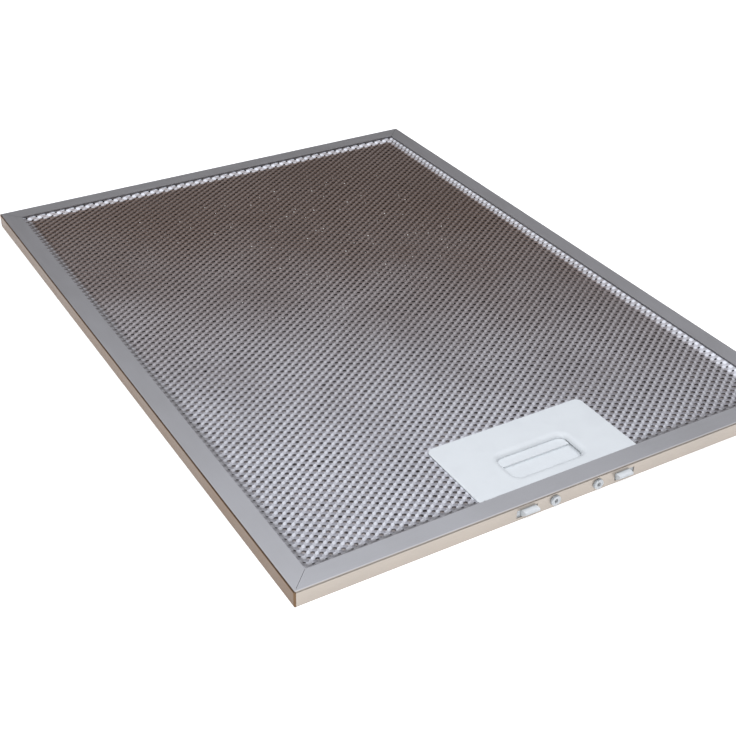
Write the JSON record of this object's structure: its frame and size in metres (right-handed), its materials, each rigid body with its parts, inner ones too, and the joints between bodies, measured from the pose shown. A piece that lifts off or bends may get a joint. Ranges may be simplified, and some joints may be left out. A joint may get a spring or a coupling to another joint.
{
  "type": "cooker hood metal mesh grease filter",
  "caption": "Flat rectangular mesh grease filter for a cooker hood, with a folded metal frame and a white sprung latch handle in one short side.",
  "frame": {"origin": "centre of the outline, latch lugs included, on the plane of the hood side's flange", "axes": "+Z out of the room side, where the handle shows; +Y away from the handle, along the long side; +X to the right as seen from the handle's side"},
  "size_m": [0.27, 0.3688, 0.008],
  "materials": {
    "frame_metal": "satin, slightly blue grey",
    "mesh_metal": "bright strands, warm grey between them",
    "foil_metal": "dull",
    "white_plastic": "satin moulded white",
    "spring_wire": "drawn wire"
  },
  "bodies": {
    "filter": {"frame": "frame_metal", "top_screen": "mesh_metal", "bottom_screen": "mesh_metal", "filter_layer_1": "foil_metal", "filter_layer_2": "foil_metal", "filter_layer_3": "foil_metal", "filter_layer_4": "foil_metal", "filter_layer_5": "foil_metal", "filter_layer_6": "foil_metal", "handle_body": "white_plastic", "handle_base": "white_plastic", "latch_spring_left": "spring_wire", "latch_spring_right": "spring_wire"},
    "latch": {"latch_slider": "white_plastic"}
  },
  "joints": [
    {"name": "latch_slide", "type": "slide", "parent": "filter", "child": "latch", "axis": [0, 1, 0], "range_m": [0, 0.0035], "stiffness_N_per_m": 600, "springref_m": -0.004, "deforming": ["latch_spring_left", "latch_spring_right"]}
  ]
}
